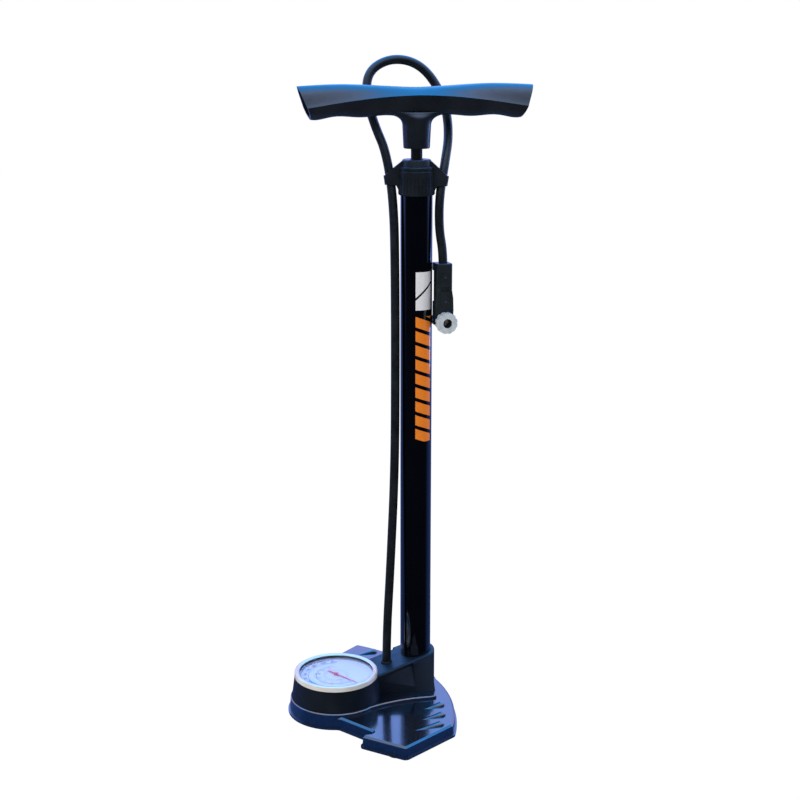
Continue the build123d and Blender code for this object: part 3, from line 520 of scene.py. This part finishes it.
def pale_nut():
    """Pale grey nut plastic with faint flow marks and a blotchy tone."""
    shader = Shader("nut_grey")
    shader.vary_colour(shader.noise(220.0, 6.0), (0.46, 0.52, 0.55), (0.62, 0.68, 0.71))
    shader.vary_roughness(shader.noise(400.0, 4.0), 0.38, 0.52)
    shader.bump(shader.noise(1600.0, 3.0), 0.00004, 0.5)
    return shader


def bright_plating():
    """Pale plating with a soft shine."""
    shader = Shader("bezel_plating")
    shader.set(Metallic=0.15, Specular_IOR_Level=0.2)
    shader.vary_colour(shader.noise(90.0, 4.0), (0.86, 0.80, 0.70), (0.94, 0.90, 0.84))
    shader.vary_roughness(shader.noise(500.0, 5.0), 0.08, 0.16)
    shader.bump(shader.noise(160.0, 2.0), 0.00004, 0.2)
    return shader


def clear_lens():
    shader = Shader("lens_clear")
    shader.vary_roughness(shader.noise(300.0, 5.0), 0.0, 0.012)
    shader.set(Base_Color=(0.93, 0.95, 1.0), Alpha=0.09, IOR=1.49, Transmission_Weight=1.0)
    return shader


def needle_lacquer():
    shader = Shader("needle_red")
    shader.vary_colour(shader.noise(900.0, 3.0), (0.60, 0.035, 0.02), (0.78, 0.06, 0.035))
    shader.vary_roughness(shader.noise(700.0, 3.0), 0.28, 0.40)
    shader.set(Specular_IOR_Level=0.05)
    return shader


paint(blackened_rod().material, "piston_rod")
paint(pale_nut().material, "lock_nut")
paint(bright_plating().material, "bezel")
paint(clear_lens().material, "lens")
paint(needle_lacquer().material, "needle")


# ---- gauge dial --------------------------------------------------------------------------
GAUGE = Vector((0, -0.0936, 0))
DIAL_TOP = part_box("dial")[1][2]
PRINT_DEPTH = 0.00006
PRINT_GAP = 0.00001             # between the card and the lowest print
SCALE_START = 20.0              # the dial's zero, in degrees from +X; the scale runs clockwise
SCALE_SWEEP = 220.0
SCALE_FULL = 220
INNER_FULL = 15.2               # the inner scale's reading where the outer one ends; it has two ticks a unit
BAND = (0.0290, 0.0375)         # inner and outer radius of the blue band
BAND_TURN = (SCALE_START - 6, SCALE_START - 112)
INNER_RING = 0.0205
OUTER_RING = 0.0378
RINGS = (0.0288, INNER_RING, OUTER_RING)
RING_WIDTH = 0.0005
HUB_RING = (0.0120, 0.0124)
LONG_TICK = (0.0352, OUTER_RING, 0.0008)        # from, to and width
SHORT_TICK = (0.0364, OUTER_RING, 0.0004)
INNER_LONG_TICK = (INNER_RING, 0.0228, 0.0005)
INNER_SHORT_TICK = (INNER_RING, 0.0217, 0.00025)
NUMBERS = (0.0322, 0.0044)      # radius they stand at and their size
INNER_NUMBERS = (0.0178, 0.0034)
BOLDNESS = 0.012                # how far a numeral's outline is spread, in parts of its size


def card():
    """Pale printed card with a faint fibre."""
    shader = Shader("dial_card")
    shader.vary_colour(shader.noise(600.0, 6.0, 0.7), (0.80, 0.82, 0.90), (0.88, 0.90, 0.96))
    shader.vary_roughness(shader.noise(900.0, 4.0), 0.42, 0.55)
    shader.set(Specular_IOR_Level=0.12)
    return shader


def ink(name, colour):
    shader = Shader(name)
    shader.vary_colour(shader.noise(1500.0, 4.0), tuple(0.8 * part for part in colour), colour)
    shader.vary_roughness(shader.noise(900.0, 3.0), 0.35, 0.45)
    shader.set(Specular_IOR_Level=0.05)
    return shader.material


def on_dial(radius, angle):
    turn = radians(angle)
    return Vector((radius * cos(turn), radius * sin(turn), 0)) + GAUGE


def add_print(name, build, material):
    """Makes what was built a printed piece of the dial."""
    mesh = bpy.data.meshes.new(name)
    build.to_mesh(mesh)
    build.free()
    mesh.materials.append(material)
    piece = bpy.data.objects.new(name, mesh)
    bpy.context.scene.collection.objects.link(piece)
    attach(piece, "root")


def print_layer(name, outlines, material, lift=0.0):
    """Thin closed prisms on the dial from a list of outlines, each a list of points in order."""
    build = bmesh.new()
    low = DIAL_TOP + lift + PRINT_GAP
    for outline in outlines:
        bottom = [build.verts.new((point.x, point.y, low)) for point in outline]
        top = [build.verts.new((point.x, point.y, low + PRINT_DEPTH)) for point in outline]
        build.faces.new(top)
        build.faces.new(bottom[::-1])
        for index in range(len(outline)):
            following = (index + 1) % len(outline)
            build.faces.new((bottom[index], bottom[following], top[following], top[index]))
    bmesh.ops.recalc_face_normals(build, faces=build.faces)
    add_print(name, build, material)


def arc_band(inner, outer, start, end, steps=72):
    """Outline of a band round an arc: along its outer edge and back along its inner one."""
    outer_edge = [on_dial(outer, start + (end - start) * step / steps) for step in range(steps + 1)]
    inner_edge = [on_dial(inner, start + (end - start) * step / steps) for step in range(steps + 1)]
    return outer_edge + inner_edge[::-1]


def tick(angle, inner, outer, width):
    along = on_dial(1, angle) - GAUGE
    side = Vector((-along.y, along.x, 0)) * width / 2
    start, end = along * inner + GAUGE, along * outer + GAUGE
    return [start - side, end - side, end + side, start + side]


def scale_angle(value, full):
    return SCALE_START - SCALE_SWEEP * value / full


def ticks_along(values, full, every, long_tick, short_tick):
    """Ticks of one scale, with a long one at each multiple of every."""
    return [tick(scale_angle(value, full), *(short_tick if value % every else long_tick)) for value in values]


def numeral(text, angle, radius, size, name):
    """Mesh of a number that stands upright towards the dial's rim."""
    curve = bpy.data.curves.new(name, "FONT")
    curve.body = text
    curve.size = size
    curve.align_x = "CENTER"
    curve.align_y = "CENTER"
    curve.extrude = PRINT_DEPTH / 2
    curve.offset = size * BOLDNESS
    holder = bpy.data.objects.new(name + "_text", curve)
    bpy.context.scene.collection.objects.link(holder)
    bpy.context.view_layer.update()
    mesh = bpy.data.meshes.new_from_object(holder)
    bpy.data.objects.remove(holder)
    place = on_dial(radius, angle)
    turn = Matrix.Rotation(radians(angle - 90), 4, "Z")
    mesh.transform(Matrix.Translation((place.x, place.y, DIAL_TOP + PRINT_DEPTH)) @ turn)
    return mesh


def print_numbers(name, meshes, material):
    """Joins the numerals' meshes into one printed piece."""
    build = bmesh.new()
    for mesh in meshes:
        build.from_mesh(mesh)
    bmesh.ops.remove_doubles(build, verts=build.verts, dist=0.0000005)
    add_print(name, build, material)


def add_dial():
    paint(card().material, "dial")
    black = ink("dial_black", (0.012, 0.014, 0.03))
    blue = ink("dial_blue", (0.10, 0.52, 0.80))
    end = SCALE_START - SCALE_SWEEP
    print_layer("dial_band", [arc_band(*BAND, *BAND_TURN)], blue)
    rings = [arc_band(radius, radius + RING_WIDTH, SCALE_START, end) for radius in RINGS]
    rings += [arc_band(*HUB_RING, 0.0, 359.9, 96)]
    print_layer("dial_rings", rings, black, PRINT_DEPTH)
    ticks = ticks_along(range(0, SCALE_FULL + 1, 4), SCALE_FULL, 20, LONG_TICK, SHORT_TICK)
    ticks += ticks_along(range(31), 2 * INNER_FULL, 4, INNER_LONG_TICK, INNER_SHORT_TICK)
    print_layer("dial_ticks", ticks, black, 2 * PRINT_DEPTH)
    numbers = [numeral(str(value), scale_angle(value, SCALE_FULL), *NUMBERS, "outer")
               for value in range(0, SCALE_FULL + 1, 20)]
    numbers += [numeral(str(value), scale_angle(value, INNER_FULL), *INNER_NUMBERS, "inner")
                for value in range(0, 16, 2)]
    print_numbers("dial_numbers", numbers, black)


add_dial()
